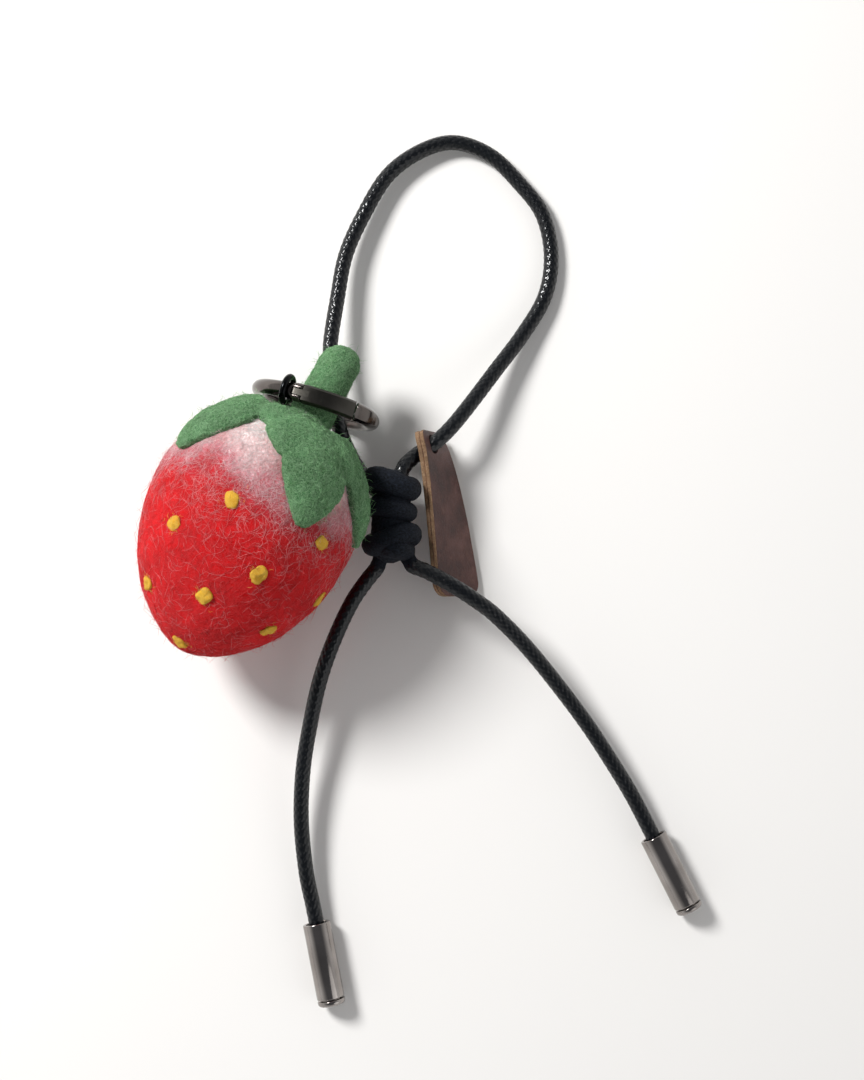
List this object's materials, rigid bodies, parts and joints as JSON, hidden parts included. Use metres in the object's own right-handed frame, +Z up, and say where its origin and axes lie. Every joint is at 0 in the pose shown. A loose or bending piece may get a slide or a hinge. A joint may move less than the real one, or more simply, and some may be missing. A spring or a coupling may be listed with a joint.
{
  "type": "plush keychain",
  "caption": "Felted wool strawberry with leaves and stalk, hung by a screw eye on a spring-gate ring, on a knotted cord loop with metal cord ends and a leather tag.",
  "frame": {"origin": "centre of the flat spot that the strawberry rests on", "axes": "+Z up from the table; +X to the strawberry's right, towards the knot and the tag; +Y away from the two tails, towards the loop"},
  "size_m": [0.1098, 0.1758, 0.0411],
  "materials": {
    "wool_red": "needle-felted wool, fuzzy and matte",
    "wool_green": "needle-felted wool, fuzzy and matte",
    "wool_yellow": "needle-felted wool, matte",
    "wool_natural": "core wool, matte",
    "cord_black": "waxed braided cord, slight sheen",
    "leather_brown": "smooth matte leather with bare tan edges",
    "gunmetal": "polished dark plate",
    "nickel": "polished nickel plate",
    "black_wire": "glossy black",
    "spring_steel": "bright"
  },
  "bodies": {
    "cord": {"loop_cord": "cord_black", "snake_knot": "cord_black"},
    "ring": {"ring_body": "gunmetal", "gate_pin": "gunmetal", "gate_spring": "spring_steel"},
    "gate": {"ring_gate": "gunmetal"},
    "charm": {"wool_core": "wool_natural", "wool_skin": "wool_red", "leaf_collar": "wool_green", "stalk": "wool_green", "screw_eye": "black_wire", "leaf_1": "wool_green", "leaf_2": "wool_green", "leaf_3": "wool_green", "leaf_4": "wool_green", "leaf_5": "wool_green", "seed_01": "wool_yellow", "seed_02": "wool_yellow", "seed_03": "wool_yellow", "seed_04": "wool_yellow", "seed_05": "wool_yellow", "seed_06": "wool_yellow", "seed_07": "wool_yellow", "seed_08": "wool_yellow", "seed_09": "wool_yellow", "seed_10": "wool_yellow", "seed_11": "wool_yellow", "seed_12": "wool_yellow", "seed_13": "wool_yellow", "seed_14": "wool_yellow", "seed_15": "wool_yellow", "seed_16": "wool_yellow", "seed_17": "wool_yellow", "seed_18": "wool_yellow", "seed_19": "wool_yellow"},
    "tag": {"leather_tag": "leather_brown"},
    "left_tail": {"left_tail_cord": "cord_black", "left_cord_end": "nickel", "left_end_cap": "nickel"},
    "right_tail": {"right_tail_cord": "cord_black", "right_cord_end": "nickel", "right_end_cap": "nickel"}
  },
  "joints": [
    {"name": "ring_swivel", "type": "hinge", "parent": "cord", "child": "ring", "pos_m": [0.0168, 0.0242, 0.0074], "axis": [0, 0, 1], "range_deg": [-30, 0]},
    {"name": "gate_hinge", "type": "hinge", "parent": "ring", "child": "gate", "pos_m": [0.01005, 0.02614, 0.02411], "axis": [0.2823, 0.9593, 0], "range_deg": [0, 10], "stiffness_Nm_per_rad": 0.002, "springref_deg": -17.19},
    {"name": "charm_swing", "type": "hinge", "parent": "ring", "child": "charm", "pos_m": [0.00824, 0.02667, 0.02342], "axis": [0.8694, -0.2559, 0.4226], "range_deg": [-20, 3]},
    {"name": "tag_swing", "type": "hinge", "parent": "cord", "child": "tag", "pos_m": [0.03467, 0.01718, 0.00931], "axis": [-0.7919, -0.578, 0.197], "range_deg": [-25, 1.5]},
    {"name": "left_tail_swing", "type": "hinge", "parent": "cord", "child": "left_tail", "pos_m": [0.025, -0.0067, 0.0116], "axis": [0, 0, 1], "range_deg": [-20, 25]},
    {"name": "right_tail_swing", "type": "hinge", "parent": "cord", "child": "right_tail", "pos_m": [0.032, -0.0064, 0.0124], "axis": [0, 0, 1], "range_deg": [-25, 25]}
  ]
}
